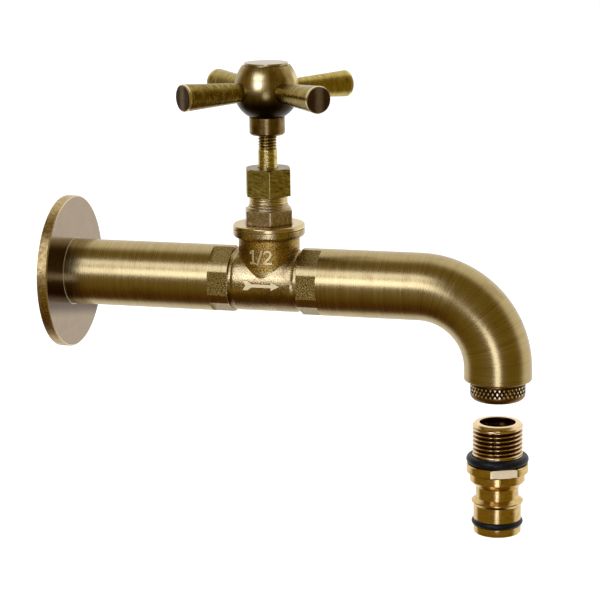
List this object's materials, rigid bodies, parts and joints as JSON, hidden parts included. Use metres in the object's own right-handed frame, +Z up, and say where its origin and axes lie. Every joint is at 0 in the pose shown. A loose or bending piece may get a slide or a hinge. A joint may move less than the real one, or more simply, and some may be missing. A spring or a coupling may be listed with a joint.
{
  "type": "cross handle tap",
  "caption": "Wall tap with a cross handle, a round wall flange, a bent spout with a screwed strainer, and a loose hose adaptor below it.",
  "frame": {"origin": "centre of the wall flange's back face, on the line of the inlet pipe", "axes": "+X out of the wall along the pipe towards the spout, +Z up along the spindle, +Y to the side away from the size mark"},
  "size_m": [0.2032, 0.0666, 0.1947],
  "materials": {
    "flange_brass": "antique brass, brushed in rings",
    "pipe_brass": "plain turned brass",
    "plastic_white": "moulded",
    "fibre": "red-brown fibre",
    "tube_brass": "antique brass, fine lines round the tube",
    "body_brass": "antique brass, cast grain",
    "bonnet_brass": "antique brass, cast grain",
    "packing": "packing ring",
    "gland_nut_brass": "antique brass, milled sides",
    "rubber_black": "satin",
    "spindle_brass": "bright turned brass",
    "hub_brass": "antique brass, brushed upright",
    "arm_brass_1": "antique brass, brushed round the arm",
    "arm_brass_2": "antique brass, brushed round the arm",
    "arm_brass_3": "antique brass, brushed round the arm",
    "arm_brass_4": "antique brass, brushed round the arm",
    "cap_brass": "antique brass, brushed",
    "spout_brass": "antique brass, fine lines across the tube",
    "knurl_brass": "dark antique brass, knurled",
    "screen_steel": "perforated",
    "adaptor_brass": "polished brass",
    "seal_ring_rubber": "satin",
    "nose_ring_rubber": "satin"
  },
  "bodies": {
    "tap": {"wall_flange": "flange_brass", "inlet_nipple": "pipe_brass", "tube_centring_ring": "plastic_white", "inlet_gasket": "fibre", "inlet_tube": "tube_brass", "valve_body": "body_brass", "bonnet": "bonnet_brass", "bonnet_gasket": "fibre", "gland_packing": "packing", "gland_follower": "pipe_brass", "gland_nut": "gland_nut_brass", "spout": "spout_brass", "outlet_bush": "pipe_brass"},
    "valve_plate": {"jumper": "pipe_brass", "seat_washer": "rubber_black", "washer_nut": "pipe_brass"},
    "handle": {"spindle": "spindle_brass", "handle_hub": "hub_brass", "handle_arm_1": "arm_brass_1", "handle_arm_2": "arm_brass_2", "handle_arm_3": "arm_brass_3", "handle_arm_4": "arm_brass_4", "handle_nut": "pipe_brass", "handle_cap": "cap_brass"},
    "strainer_inside": {"strainer_cartridge": "plastic_white", "strainer_screen": "screen_steel"},
    "strainer": {"strainer_housing": "knurl_brass", "strainer_seal": "rubber_black"},
    "adaptor": {"hose_adaptor": "adaptor_brass", "adaptor_seal_ring": "seal_ring_rubber", "adaptor_nose_ring": "nose_ring_rubber"}
  },
  "joints": [
    {"name": "valve_lift", "type": "slide", "parent": "tap", "child": "valve_plate", "axis": [0, 0, 1], "range_m": [0, 0.005]},
    {"name": "handle_turn", "type": "hinge", "parent": "valve_plate", "child": "handle", "pos_m": [0.09187, 0, 0], "axis": [0, 0, 1], "range_deg": [0, 900]},
    {"name": "strainer_drop", "type": "slide", "parent": "tap", "child": "strainer_inside", "axis": [0, 0, -1], "range_m": [0, 0.00635]},
    {"name": "strainer_turn", "type": "hinge", "parent": "strainer_inside", "child": "strainer", "pos_m": [0.18917, 0, -0.03757], "axis": [0, 0, -1], "range_deg": [0, 1260]},
    {"name": "adaptor_takeoff", "type": "slide", "parent": "tap", "child": "adaptor", "axis": [0, 0, 1], "range_m": [-0.04, 0]}
  ],
  "couplings": [
    {"joint": "valve_lift", "follows": "handle_turn", "m_per_rad": 0.0003183},
    {"joint": "strainer_drop", "follows": "strainer_turn", "m_per_rad": 0.00028874}
  ]
}
